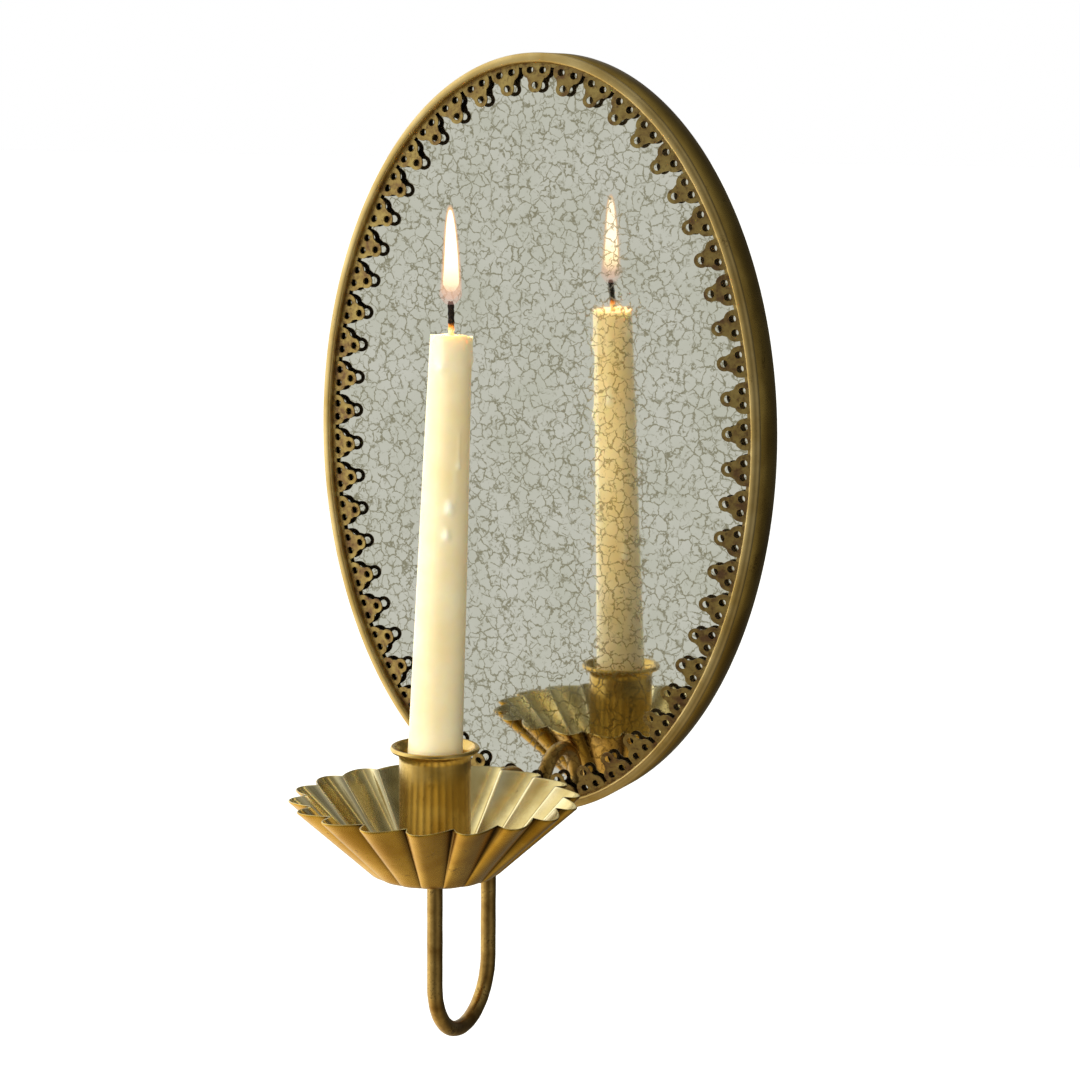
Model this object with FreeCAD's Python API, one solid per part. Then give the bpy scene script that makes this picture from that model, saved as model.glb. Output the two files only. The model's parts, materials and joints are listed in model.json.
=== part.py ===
import FreeCAD, Part
import math
import os

# Wall sconce candle holder: an oval antiqued mirror in a deep brass frame, an S-shaped arm that
# swivels in a socket under the frame, and a fluted drip tray and cup that hold a taper candle.
#
# Frame: the origin is the centre of the keyhole's entry hole, on the wall. +X is to the right for
# someone who looks at the mirror, +Y goes into the wall and +Z is up. A depth "out" is measured from
# the wall towards the room, so out = -y.

V = FreeCAD.Vector

# --- Driving dimensions, in millimetres -------------------------------------------------------

# Oval frame
OVAL_W = 198.0             # outer width of the band
OVAL_H = 312.0             # outer height of the band
KEYHOLE_RISE = 100.0       # keyhole above the oval's centre
BAND_WALL = 1.2
BAND_DEPTH = 18.8
BEAD_W = 4.2
BEAD_H = 2.2

# Strap on the back, with the keyhole
STRAP_W = 18.0
STRAP_T = 2.0
KEYHOLE_R = 4.6
KEYHOLE_SLOT_W = 4.8
KEYHOLE_SLOT_RISE = 8.0

# Mirror and what holds it
GLASS_T = 3.0
CARD_T = 1.5
BOARD_T = 3.0
GASKET_T = 1.2
GASKET_W = 2.6
EDGE_GAP = 0.5             # between the glass, card or board and the band
CLIP_T = 0.8
CLIP_W = 8.0
CLIP_LEG = 6.0
CLIP_FOOT = 8.0
CLIP_ANGLES = [25.0, 60.0, 120.0, 155.0, 205.0, 240.0, 300.0, 335.0]
CLEAT_T = 1.5
CLEAT_W = 16.0
CLEAT_BOARD_GAP = 3.0      # between a cleat's leg and the back board
CLEAT_FOOT = 16.0
BUMPER_R = 5.0
RIVET_R = 1.5
RIVET_HEAD_R = 2.8
RIVET_HEAD_H = 1.2
RIVET_HEAD_ROUND = 0.7
RIVET_PITCH = 9.0

# Pierced gallery of trefoil tabs
GALLERY_T = 0.6
GALLERY_RING_W = 4.4       # flat ring that is caught under the bead
TAB_PITCH = 14.5           # nearly: an even number of tabs goes round
TAB_ROOT_W = 12.6
TAB_ROOT_GAP = 0.3         # root of a tab, inside the bead's inner edge
TAB_SHOULDER = 2.6         # from the root to the line of the two base holes
TAB_BASE_LOBE_R = 3.4
TAB_BASE_PITCH = 5.6
TAB_TIP_LOBE_R = 3.0
TAB_TIP_RISE = 6.1         # from the line of the base holes to the tip hole
TAB_NECK_W = 4.6           # web between the tip lobe and each base lobe
TAB_HOLE_R = 1.5
TAB_LEAN = 11.0            # degrees that a tab leans forward from the mirror

# Bracket brazed under the band, and the socket and pivot that it carries
PIVOT_R = 2.5
RUNNING_GAP = 0.05
SOCKET_WALL = 1.95
SOCKET_LEN = 8.0
SOCKET_BELOW_BAND = 0.5    # socket's top under the band's lowest point
BRACKET_RIM = 1.5          # bracket's metal round the socket
BRACKET_T = 2.0
BRACKET_SETBACK = 2.0      # from the band's back edge to the bracket
WASHER_T = 0.8
NUT_WALL = 1.0             # between the pin and the nut's flats
NUT_H = 2.6
NUT_DOME_STEP = 0.6        # from the flats in to the dome

# Arm: one round rod in an S
ROD_R = 3.1
ROD_BEAD_GAP = 0.4         # between the rod and the bead's face
ARCH_R = 17.5              # centre-line radius of the arch at the wall side
UBEND_R = 23.5             # centre-line radius of the bend under the tray
ARCH_RISE = 2.4            # straight rod between the thrust washer and the arch
BACK_LIMB = 53.8           # straight limb between the two bends

# Drip tray
TRAY_R = 57.1              # rim, over the crests of the flutes
TRAY_CREASE_R = 53.4       # rim, at the creases
TRAY_FLOOR_R = 22.0        # floor, over the crests
TRAY_FLOOR_CREASE_R = 21.3
TRAY_CORNER_R = 26.6       # top of the rounded corner, over the crests
TRAY_CORNER_CREASE_R = 25.0
TRAY_CORNER_H = 2.6
TRAY_H = 30.2
TRAY_T = 0.8
TRAY_WALL_INSET = 0.72     # measured level, through the sloping wall
FLUTES = 18
FLUTE_PHASE = 5.4          # degrees from the front to the first crest
TRAY_ARCH_GAP = 0.6        # between the tray's wall and the arch that passes under it
COLLAR_LEDGE = 2.5         # out from the rod
COLLAR_H = 2.4
COLLAR_CHAMFER = 0.5

# Candle cup
CUP_CLEARANCE = 1.95       # round the candle's widest part, so that it can lean
CUP_T = 1.0
CUP_H = 50.5
CUP_FLARE_H = 3.4
CUP_FLARE = 3.45           # out from the tube to the edge of the rolled rim
CUP_ROLL_R = 1.05
SCREW_R = 2.0
SCREW_LEN = 9.0
SCREW_HEAD_R = 3.6
SCREW_HEAD_H = 2.2
SCREW_SLOT_W = 1.0
CUP_WASHER_R = 6.0

# Candle
CANDLE_BASE_R = 11.0
CANDLE_END_R = 9.5         # self-fitting end
CANDLE_END_H = 20.0
CANDLE_TOP_R = 8.1
CANDLE_LEN = 205.0
CANDLE_EDGE = 1.0          # bevel of the lower end and of the top's rim
CANDLE_LEAN = 4.6          # degrees, towards the mirror
CANDLE_SEAT_GAP = 0.6      # lowest point of the leaning end above the screw's head
CANDLE_RIM_SHIFT = 0.4     # candle's axis behind the cup's, at the rim
CANDLE_MELT_R = 6.2
CANDLE_MELT_H = 1.6
WICK_R = 1.3
WICK_LEN = 12.0
WICK_SUNK = 8.0

# --- Places worked out from the dimensions ----------------------------------------------------

OVAL_Z = -KEYHOLE_RISE
OVAL_BOTTOM = OVAL_Z - OVAL_H / 2
BAND_BACK = STRAP_T
BAND_FRONT = BAND_BACK + BAND_DEPTH
BEAD_FACE = BAND_FRONT + BEAD_H
GALLERY_BACK = BAND_FRONT - GALLERY_T
GLASS_FRONT = GALLERY_BACK - GASKET_T
GLASS_BACK = GLASS_FRONT - GLASS_T
CARD_BACK = GLASS_BACK - CARD_T
BOARD_BACK = CARD_BACK - BOARD_T

CLEAT_FRONT = BOARD_BACK - CLEAT_BOARD_GAP

PIVOT_OUT = BEAD_FACE + ROD_BEAD_GAP + ROD_R
SOCKET_R = PIVOT_R + RUNNING_GAP + SOCKET_WALL
BRACKET_W = 2 * (SOCKET_R + BRACKET_RIM)
NUT_AF = 2 * (PIVOT_R + NUT_WALL)
NUT_DOME_R = NUT_AF / 2 - NUT_DOME_STEP
SOCKET_TOP = OVAL_BOTTOM - SOCKET_BELOW_BAND
SOCKET_BOTTOM = SOCKET_TOP - SOCKET_LEN
ROD_SHOULDER = SOCKET_TOP + RUNNING_GAP + WASHER_T
LOWER_WASHER_TOP = SOCKET_BOTTOM - RUNNING_GAP
NUT_TOP = LOWER_WASHER_TOP - WASHER_T
PIN_END = NUT_TOP - NUT_H

ARCH_Z = ROD_SHOULDER + ARCH_RISE
BACK_LIMB_OUT = PIVOT_OUT + 2 * ARCH_R
UBEND_Z = ARCH_Z - BACK_LIMB
CANDLE_OUT = BACK_LIMB_OUT + 2 * UBEND_R

# The tray stands as low as the arch lets it: its sloping wall, over the crests, passes the arch.
TRAY_WALL = V(TRAY_R - TRAY_CORNER_R, TRAY_H - TRAY_CORNER_H, 0).normalize()
RIM_PAST_ARCH = CANDLE_OUT - TRAY_R - (PIVOT_OUT + ARCH_R)
RIM_OVER_ARCH = (ARCH_R + ROD_R + TRAY_ARCH_GAP - TRAY_WALL.y * RIM_PAST_ARCH) / TRAY_WALL.x
TRAY_BOTTOM = ARCH_Z + RIM_OVER_ARCH - TRAY_H
COLLAR_BOTTOM = TRAY_BOTTOM - COLLAR_H
COLLAR_R = ROD_R + COLLAR_LEDGE
CUP_R = CANDLE_BASE_R + CUP_CLEARANCE + CUP_T
CUP_LIP_R = CUP_R + CUP_FLARE
CUP_BOTTOM = TRAY_BOTTOM + TRAY_T
CUP_TOP = CUP_BOTTOM + CUP_H
CUP_FLOOR = CUP_BOTTOM + CUP_T
SCREW_SEAT = CUP_FLOOR + WASHER_T
SCREW_TOP = SCREW_SEAT + SCREW_HEAD_H


# --- Helpers ----------------------------------------------------------------------------------

def at(x, out, z):
    """A point from its distance out of the wall."""
    return V(x, -out, z)


def export(shape, node):
    """Writes one node, after a look at its solids."""
    for solid in shape.Solids:
        if not solid.isValid() or solid.Volume <= 0:
            raise ValueError(node + " is not a valid solid")
    shape.exportStep(os.path.join("parts", node + ".step"))


def oval_edge(inset, out):
    """The oval, moved in by an inset, at a distance out of the wall."""
    top = at(0, out, OVAL_Z + OVAL_H / 2 - inset)
    side = at(OVAL_W / 2 - inset, out, OVAL_Z)
    return Part.Ellipse(top, side, at(0, out, OVAL_Z)).toShape()


def oval_slab(inset, out_low, out_high):
    """A solid oval plate between two distances out of the wall."""
    face = Part.Face(Part.Wire([oval_edge(inset, out_low)]))
    return face.extrude(at(0, out_high - out_low, 0))


def oval_ring(inset, width, out_low, out_high):
    """An oval ring of a given width, whose outer edge lies at the inset."""
    return oval_slab(inset, out_low, out_high).cut(oval_slab(inset + width, out_low, out_high))


def box(x_low, x_high, out_low, out_high, z_low, z_high):
    """A box from its two distances in each direction."""
    return Part.makeBox(x_high - x_low, out_high - out_low, z_high - z_low, V(x_low, -out_high, z_low))


def rod_between(radius, out, z_low, z_high):
    """An upright round bar in the middle plane."""
    return Part.makeCylinder(radius, z_high - z_low, at(0, out, z_low), V(0, 0, 1))


def drill_out(radius, x, z, out_low, out_high):
    """A round bar that runs out from the wall."""
    return Part.makeCylinder(radius, out_high - out_low, at(x, out_low, z), V(0, -1, 0))


def turned(points, out, z):
    """A turned solid: points are (radius, height) pairs, revolved about an upright axis."""
    wire = Part.makePolygon([V(r, 0, h) for r, h in points + points[:1]])
    solid = Part.Face(wire).revolve(V(0, 0, 0), V(0, 0, 1), 360)
    solid.translate(at(0, out, z))
    return solid


def one_solid(shape):
    """The single solid of a boolean's result, with split faces joined."""
    clean = shape.removeSplitter()
    if len(clean.Solids) != 1:
        raise ValueError("expected one solid, found %d" % len(clean.Solids))
    return clean.Solids[0]


# --- Oval frame -------------------------------------------------------------------------------

def frame_band():
    return one_solid(oval_ring(0, BAND_WALL, BAND_BACK, BAND_FRONT))


def frame_bead():
    """Half-round moulding swept round the oval, on the front edge of the band."""
    top = OVAL_Z + OVAL_H / 2
    outer = at(0, BAND_FRONT, top)
    inner = at(0, BAND_FRONT, top - BEAD_W)
    crown = at(0, BEAD_FACE, top - BEAD_W / 2)
    profile = Part.Wire([Part.Arc(outer, crown, inner).toShape(), Part.makeLine(inner, outer)])
    path = Part.Wire([oval_edge(0, BAND_FRONT)])
    return path.makePipeShell([profile], True, True).Solids[0]


def wall_angle(angle, width, thickness, foot_out, foot_len, leg_low, leg_high):
    """An angle piece soldered inside the band: a leg on the band's wall and a foot that points
    to the middle of the oval. The angle is that of the ellipse's own parameter, from +X."""
    t = math.radians(angle)
    a = OVAL_W / 2 - BAND_WALL
    b = OVAL_H / 2 - BAND_WALL
    normal = V(math.cos(t) / a, 0, math.sin(t) / b).normalize()
    place = FreeCAD.Placement(
        at(a * math.cos(t), 0, OVAL_Z + b * math.sin(t)),
        FreeCAD.Rotation(V(normal.z, 0, -normal.x), V(0, 1, 0), normal, "ZXY"),
    )
    reach = foot_len + thickness
    leg = box(-width / 2, width / 2, leg_low, leg_high, -reach, reach)
    foot = box(-width / 2, width / 2, foot_out, foot_out + thickness, -reach, reach)
    leg.Placement = place.multiply(leg.Placement)
    foot.Placement = place.multiply(foot.Placement)
    leg = leg.common(oval_ring(BAND_WALL, thickness, leg_low, leg_high))
    foot = foot.common(oval_slab(BAND_WALL, foot_out, foot_out + thickness))
    return one_solid(leg.fuse(foot))


def cleat(angle):
    """An angle cleat whose foot is flush with the back of the band."""
    return wall_angle(angle, CLEAT_W, CLEAT_T, BAND_BACK, CLEAT_FOOT, BAND_BACK, CLEAT_FRONT)


def retaining_clip(angle):
    """A clip folded over the back board."""
    foot_out = BOARD_BACK - CLIP_T
    return wall_angle(angle, CLIP_W, CLIP_T, foot_out, CLIP_FOOT, BOARD_BACK - CLIP_LEG, BOARD_BACK)


# --- Gallery ----------------------------------------------------------------------------------

def tab_blank():
    """One trefoil tab in its own plane: x along the oval, y towards its middle, z forward."""
    base_y = TAB_SHOULDER
    tip_y = TAB_SHOULDER + TAB_TIP_RISE
    holes = [(-TAB_BASE_PITCH / 2, base_y), (TAB_BASE_PITCH / 2, base_y), (0, tip_y)]
    lobes = [TAB_BASE_LOBE_R, TAB_BASE_LOBE_R, TAB_TIP_LOBE_R]
    neck_len = math.hypot(TAB_BASE_PITCH / 2, TAB_TIP_RISE)
    slant = math.degrees(math.atan2(TAB_BASE_PITCH / 2, TAB_TIP_RISE))
    shape = Part.makeBox(TAB_ROOT_W, base_y, GALLERY_T, V(-TAB_ROOT_W / 2, 0, 0))
    web = Part.makePolygon([V(x, y, 0) for x, y in holes + holes[:1]])
    shape = shape.fuse(Part.Face(web).extrude(V(0, 0, GALLERY_T)))
    for side in (1, -1):
        neck = Part.makeBox(TAB_NECK_W, neck_len, GALLERY_T, V(-TAB_NECK_W / 2, 0, 0))
        foot = V(side * TAB_BASE_PITCH / 2, base_y, 0)
        neck.Placement = FreeCAD.Placement(foot, FreeCAD.Rotation(V(0, 0, 1), side * slant))
        shape = shape.fuse(neck)
    beyond_root = Part.makeBox(2 * TAB_ROOT_W, TAB_ROOT_W, GALLERY_T, V(-TAB_ROOT_W, 0, 0))
    for (x, y), r in zip(holes, lobes):
        lobe = Part.makeCylinder(r, GALLERY_T, V(x, y, 0))
        shape = shape.fuse(lobe.common(beyond_root))
    for x, y in holes:
        shape = shape.cut(Part.makeCylinder(TAB_HOLE_R, GALLERY_T, V(x, y, 0)))
    return one_solid(shape)


def gallery():
    """Flat ring under the bead, with the tabs spaced evenly along the bead's inner edge."""
    ring = oval_ring(BAND_WALL, GALLERY_RING_W, GALLERY_BACK, BAND_FRONT)
    root = oval_edge(BEAD_W + TAB_ROOT_GAP, GALLERY_BACK)
    blank = tab_blank()
    count = 2 * round(root.Length / (2 * TAB_PITCH))
    tabs = []
    for k in range(count):
        u = root.getParameterByLength(root.Length * k / count)
        point = root.valueAt(u)
        along = root.tangentAt(u)
        inward = V(0, 1, 0).cross(along)
        if inward.dot(at(0, GALLERY_BACK, OVAL_Z) - point) < 0:
            inward = inward * -1
        forward = V(0, -1, 0)
        lean = math.radians(TAB_LEAN)
        rise = inward * math.cos(lean) + forward * math.sin(lean)
        tab = blank.copy()
        tab.Placement = FreeCAD.Placement(point, FreeCAD.Rotation(rise.cross(forward), rise, V(), "YXZ"))
        tabs.append(tab)
    return one_solid(ring.multiFuse(tabs))


# --- Strap, socket and small parts on the back ------------------------------------------------

def hanger_strap():
    """Flat strap down the back of the frame, with the keyhole near its top."""
    half = STRAP_W / 2
    reach = OVAL_H / 2 - BAND_WALL - 2 * CLEAT_T
    strap = box(-half, half, 0, STRAP_T, OVAL_Z - reach, OVAL_Z + reach)
    strap = strap.cut(drill_out(KEYHOLE_R, 0, 0, 0, STRAP_T))
    slot_half = KEYHOLE_SLOT_W / 2
    strap = strap.cut(box(-slot_half, slot_half, 0, STRAP_T, 0, KEYHOLE_SLOT_RISE))
    strap = strap.cut(drill_out(slot_half, 0, KEYHOLE_SLOT_RISE, 0, STRAP_T))
    for z in rivet_heights():
        strap = strap.cut(drill_out(RIVET_R, 0, z, 0, STRAP_T))
    return one_solid(strap)


def rivet_heights():
    """Two rivets through each of the top and bottom cleats."""
    inner = OVAL_H / 2 - BAND_WALL - CLEAT_T
    first = inner - (CLEAT_FOOT - RIVET_PITCH) / 2
    return [OVAL_Z + side * (first - step) for side in (1, -1) for step in (0, RIVET_PITCH)]


def strap_rivets():
    """Flush on the wall side, with a round head on the cleat's side."""
    rivets = []
    head_out = BAND_BACK + CLEAT_T
    for z in rivet_heights():
        shank = drill_out(RIVET_R, 0, z, 0, head_out)
        head = drill_out(RIVET_HEAD_R, 0, z, head_out, head_out + RIVET_HEAD_H)
        head = head.makeFillet(RIVET_HEAD_ROUND, [e for e in head.Edges if on_top_circle(e, head_out)])
        rivets.append(one_solid(shank.fuse(head)))
    return Part.makeCompound(rivets)


def on_top_circle(edge, head_out):
    """Whether an edge is the round edge on top of a rivet's head."""
    return edge.Closed and abs(edge.CenterOfMass.y + head_out + RIVET_HEAD_H) < 0.01


def socket_bracket():
    """Plate with a round nose that holds the socket. Its back is a saddle that fits the band."""
    half = BRACKET_W / 2
    back = BAND_BACK + BRACKET_SETBACK
    bottom = SOCKET_TOP - BRACKET_T
    plate = box(-half, half, back, PIVOT_OUT, bottom, SOCKET_TOP)
    nose = rod_between(half, PIVOT_OUT, bottom, SOCKET_TOP)
    saddle = box(-half, half, back, BAND_FRONT, SOCKET_TOP, OVAL_BOTTOM + BAND_WALL)
    saddle = saddle.cut(oval_slab(0, BAND_BACK, BEAD_FACE))
    bracket = plate.multiFuse([nose, saddle])
    return one_solid(bracket.cut(rod_between(SOCKET_R, PIVOT_OUT, bottom, SOCKET_TOP)))


def cleat_with_holes(angle):
    """The top and bottom cleats are drilled for the strap's rivets."""
    shape = cleat(angle)
    for z in rivet_heights():
        shape = shape.cut(drill_out(RIVET_R, 0, z, BAND_BACK, BAND_BACK + CLEAT_T))
    return one_solid(shape)


def bumper(side):
    """Rubber disc on a side cleat, as thick as the strap."""
    x = side * (OVAL_W / 2 - BAND_WALL - CLEAT_FOOT / 2 - CLEAT_T / 2)
    return drill_out(BUMPER_R, x, OVAL_Z, 0, BAND_BACK)


def arm_socket():
    tube = rod_between(SOCKET_R, PIVOT_OUT, SOCKET_BOTTOM, SOCKET_TOP)
    return tube.cut(rod_between(PIVOT_R + RUNNING_GAP, PIVOT_OUT, SOCKET_BOTTOM, SOCKET_TOP))


# --- Arm --------------------------------------------------------------------------------------

def arm_rod():
    """Round rod: pivot pin, arch, back limb, U-bend and front limb, with a tapped top."""
    arch_top = at(0, PIVOT_OUT + ARCH_R, ARCH_Z + ARCH_R)
    ubend_low = at(0, BACK_LIMB_OUT + UBEND_R, UBEND_Z - UBEND_R)
    edges = [
        Part.makeLine(at(0, PIVOT_OUT, ROD_SHOULDER), at(0, PIVOT_OUT, ARCH_Z)),
        Part.Arc(at(0, PIVOT_OUT, ARCH_Z), arch_top, at(0, BACK_LIMB_OUT, ARCH_Z)).toShape(),
        Part.makeLine(at(0, BACK_LIMB_OUT, ARCH_Z), at(0, BACK_LIMB_OUT, UBEND_Z)),
        Part.Arc(at(0, BACK_LIMB_OUT, UBEND_Z), ubend_low, at(0, CANDLE_OUT, UBEND_Z)).toShape(),
        Part.makeLine(at(0, CANDLE_OUT, UBEND_Z), at(0, CANDLE_OUT, TRAY_BOTTOM)),
    ]
    section = Part.Wire([Part.makeCircle(ROD_R, at(0, PIVOT_OUT, ROD_SHOULDER), V(0, 0, 1))])
    rod = Part.Wire(edges).makePipeShell([section], True, False).Solids[0]
    rod = rod.fuse(rod_between(PIVOT_R, PIVOT_OUT, PIN_END, ROD_SHOULDER))
    rod = rod.cut(rod_between(SCREW_R, CANDLE_OUT, SCREW_SEAT - SCREW_LEN, TRAY_BOTTOM))
    return one_solid(rod)


def pivot_washer(z_low):
    ring = rod_between(SOCKET_R, PIVOT_OUT, z_low, z_low + WASHER_T)
    return ring.cut(rod_between(PIVOT_R, PIVOT_OUT, z_low, z_low + WASHER_T))


def acorn_nut():
    """Hexagon with a domed end, closed under the pin."""
    hexagon = Part.makePolygon(hex_points(NUT_AF))
    body = Part.Face(hexagon).extrude(V(0, 0, -NUT_H))
    body.translate(at(0, PIVOT_OUT, NUT_TOP))
    dome = Part.makeSphere(NUT_DOME_R, at(0, PIVOT_OUT, NUT_TOP - NUT_H))
    below = box(-NUT_AF, NUT_AF, PIVOT_OUT - NUT_AF, PIVOT_OUT + NUT_AF, PIN_END - NUT_AF, NUT_TOP - NUT_H)
    nut = body.fuse(dome.common(below))
    return one_solid(nut.cut(rod_between(PIVOT_R, PIVOT_OUT, PIN_END, NUT_TOP)))


def hex_points(across_flats):
    """A closed hexagon about the origin."""
    r = across_flats / math.sqrt(3)
    return [V(r * math.cos(k * math.pi / 3), r * math.sin(k * math.pi / 3), 0) for k in range(7)]


def tray_collar():
    """Turned collar fixed on the rod, under the tray."""
    points = [
        (ROD_R, 0),
        (COLLAR_R - COLLAR_CHAMFER, 0),
        (COLLAR_R, COLLAR_CHAMFER),
        (COLLAR_R, COLLAR_H),
        (ROD_R, COLLAR_H),
    ]
    return turned(points, CANDLE_OUT, COLLAR_BOTTOM)


# --- Drip tray --------------------------------------------------------------------------------

def flute_wire(crest_r, crease_r, z):
    """A closed wire of arcs that swell outwards and meet in creases."""
    edges = []
    step = 2 * math.pi / FLUTES
    start = math.radians(FLUTE_PHASE - 90) - step / 2
    for k in range(FLUTES):
        angles = [start + k * step, start + (k + 0.5) * step, start + (k + 1) * step]
        radii = [crease_r, crest_r, crease_r]
        a, m, b = [V(r * math.cos(t), r * math.sin(t), z) for t, r in zip(angles, radii)]
        edges.append(Part.Arc(a, m, b).toShape())
    return Part.Wire(edges)


def tray_solid(inset, base_z, top_z):
    """The tray's outer form moved in by an inset, from its floor to a height."""
    slope = (TRAY_R - TRAY_CORNER_R) / (TRAY_H - TRAY_CORNER_H)
    crease_slope = (TRAY_CREASE_R - TRAY_CORNER_CREASE_R) / (TRAY_H - TRAY_CORNER_H)
    over = top_z - TRAY_H
    wires = [
        flute_wire(TRAY_FLOOR_R - inset, TRAY_FLOOR_CREASE_R - inset, base_z),
        flute_wire(TRAY_CORNER_R - inset, TRAY_CORNER_CREASE_R - inset, base_z + TRAY_CORNER_H),
        flute_wire(TRAY_R - inset + slope * over, TRAY_CREASE_R - inset + crease_slope * over, top_z),
    ]
    return Part.makeLoft(wires, True, True)


def drip_tray():
    """Thin fluted pan with a flat floor, drilled for the screw."""
    tray = tray_solid(0, 0, TRAY_H).cut(tray_solid(TRAY_WALL_INSET, TRAY_T, TRAY_H + TRAY_T))
    tray.translate(at(0, CANDLE_OUT, TRAY_BOTTOM))
    return one_solid(tray.cut(rod_between(SCREW_R, CANDLE_OUT, TRAY_BOTTOM, CUP_BOTTOM)))


# --- Candle cup -------------------------------------------------------------------------------

def candle_cup():
    """Tube with a floor, flared at the mouth into a rolled rim, drilled for the screw."""
    roll_z = CUP_H - CUP_ROLL_R
    roll_r = CUP_LIP_R - CUP_ROLL_R
    flare_z = CUP_H - CUP_ROLL_R - CUP_FLARE_H
    bore = CUP_R - CUP_T
    points = [
        (SCREW_R, 0),
        (CUP_R, 0),
        (CUP_R, flare_z),
        (roll_r - CUP_ROLL_R * 0.4, roll_z - CUP_ROLL_R * 0.5),
        (roll_r, roll_z),
        (roll_r - CUP_ROLL_R * 0.7, roll_z + CUP_ROLL_R * 0.5),
        (bore, flare_z + CUP_T * 0.5),
        (bore, CUP_T),
        (SCREW_R, CUP_T),
    ]
    cup = turned(points, CANDLE_OUT, CUP_BOTTOM)
    roll = Part.makeTorus(roll_r, CUP_ROLL_R, at(0, CANDLE_OUT, CUP_BOTTOM + roll_z))
    return one_solid(cup.fuse(roll))


def cup_washer():
    ring = rod_between(CUP_WASHER_R, CANDLE_OUT, CUP_FLOOR, SCREW_SEAT)
    return ring.cut(rod_between(SCREW_R, CANDLE_OUT, CUP_FLOOR, SCREW_SEAT))


def cup_screw():
    """Round-headed screw with a slot, down through cup and tray into the rod."""
    shank = rod_between(SCREW_R, CANDLE_OUT, SCREW_SEAT - SCREW_LEN, SCREW_SEAT)
    head = rod_between(SCREW_HEAD_R, CANDLE_OUT, SCREW_SEAT, SCREW_TOP)
    slot = box(
        -SCREW_HEAD_R, SCREW_HEAD_R,
        CANDLE_OUT - SCREW_SLOT_W / 2, CANDLE_OUT + SCREW_SLOT_W / 2,
        SCREW_TOP - SCREW_HEAD_H / 2, SCREW_TOP,
    )
    return one_solid(shank.fuse(head).cut(slot))


# --- Candle -----------------------------------------------------------------------------------

def candle_base():
    """Middle of the candle's lower end: the axis leans, and passes the cup's rim a little behind
    the cup's own axis. The lowest point of the end stays clear of the screw."""
    lean = math.radians(CANDLE_LEAN)
    z = SCREW_TOP + CANDLE_SEAT_GAP + CANDLE_END_R * math.sin(lean)
    out = CANDLE_OUT - CANDLE_RIM_SHIFT + (CUP_TOP - z) * math.tan(lean)
    return at(0, out, z)


def leaning(shape):
    """Puts a shape that was made upright at the origin on to the candle's axis."""
    shape.Placement = FreeCAD.Placement(candle_base(), FreeCAD.Rotation(V(1, 0, 0), -CANDLE_LEAN))
    return shape


def wick_hole(z_low):
    return Part.makeCylinder(WICK_R, CANDLE_LEN, V(0, 0, z_low))


def candle_wax():
    """Taper with a self-fitting end and a shallow melted hollow round the wick."""
    points = [
        (0, 0),
        (CANDLE_END_R - CANDLE_EDGE, 0),
        (CANDLE_END_R, CANDLE_EDGE),
        (CANDLE_BASE_R, CANDLE_END_H),
        (CANDLE_TOP_R, CANDLE_LEN - CANDLE_EDGE),
        (CANDLE_TOP_R - CANDLE_EDGE, CANDLE_LEN),
        (CANDLE_MELT_R, CANDLE_LEN),
        (0, CANDLE_LEN - CANDLE_MELT_H),
    ]
    wax = Part.Face(Part.makePolygon([V(r, 0, h) for r, h in points + points[:1]]))
    wax = wax.revolve(V(0, 0, 0), V(0, 0, 1), 360)
    return leaning(one_solid(wax.cut(wick_hole(CANDLE_LEN - WICK_SUNK))))


def candle_wick():
    length = WICK_SUNK + WICK_LEN
    wick = Part.makeCylinder(WICK_R, length, V(0, 0, CANDLE_LEN - WICK_SUNK))
    return leaning(wick)


# --- Nodes ------------------------------------------------------------------------------------

os.makedirs("parts", exist_ok=True)

export(frame_band(), "frame_band")
export(frame_bead(), "frame_bead")
export(gallery(), "gallery")
export(one_solid(oval_ring(BAND_WALL + EDGE_GAP, GASKET_W, GLASS_FRONT, GALLERY_BACK)), "mirror_gasket")
export(oval_slab(BAND_WALL + EDGE_GAP, GLASS_BACK, GLASS_FRONT), "mirror_glass")
export(oval_slab(BAND_WALL + EDGE_GAP, CARD_BACK, GLASS_BACK), "packing_card")
export(oval_slab(BAND_WALL + EDGE_GAP, BOARD_BACK, CARD_BACK), "back_board")

for number, clip_angle in enumerate(CLIP_ANGLES, 1):
    export(retaining_clip(clip_angle), "retaining_clip_%d" % number)

export(cleat(0), "cleat_right")
export(cleat(180), "cleat_left")
export(cleat_with_holes(90), "cleat_top")
export(cleat_with_holes(270), "cleat_bottom")
export(bumper(1), "bumper_right")
export(bumper(-1), "bumper_left")
export(hanger_strap(), "hanger_strap")
export(socket_bracket(), "socket_bracket")
export(strap_rivets(), "strap_rivets")
export(arm_socket(), "arm_socket")

export(arm_rod(), "arm_rod")
export(pivot_washer(SOCKET_TOP + RUNNING_GAP), "thrust_washer")
export(pivot_washer(NUT_TOP), "lower_washer")
export(acorn_nut(), "acorn_nut")
export(tray_collar(), "tray_collar")
export(drip_tray(), "drip_tray")
export(candle_cup(), "candle_cup")
export(cup_washer(), "cup_washer")
export(cup_screw(), "cup_screw")

export(candle_wax(), "candle_wax")
export(candle_wick(), "candle_wick")
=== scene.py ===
import json
import math

import bmesh
import bpy
import numpy as np
from mathutils import Matrix, Vector


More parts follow.
